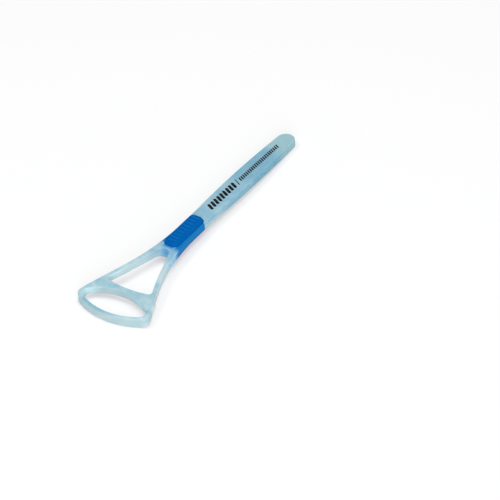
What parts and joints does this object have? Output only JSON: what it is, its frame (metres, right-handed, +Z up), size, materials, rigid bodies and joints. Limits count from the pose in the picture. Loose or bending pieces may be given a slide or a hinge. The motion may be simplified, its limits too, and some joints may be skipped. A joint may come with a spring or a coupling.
{
  "type": "tongue scraper",
  "caption": "Long paddle-handled tongue scraper with a fan-shaped open head, an inner and an outer scraping bar, and a soft ribbed grip let through the neck.",
  "frame": {"origin": "middle of the box around the part, at its lowest level, on the table that it rests on", "axes": "+Y along the handle from the head to the tip, +X across the head, +Z up from the table"},
  "size_m": [0.0426, 0.165, 0.0101],
  "materials": {
    "frosted_plastic": "frosted pale blue, light passes through",
    "grip_rubber": "satin blue soft-touch"
  },
  "bodies": {
    "root": {"scraper_body": "frosted_plastic", "soft_grip": "grip_rubber"}
  },
  "joints": []
}
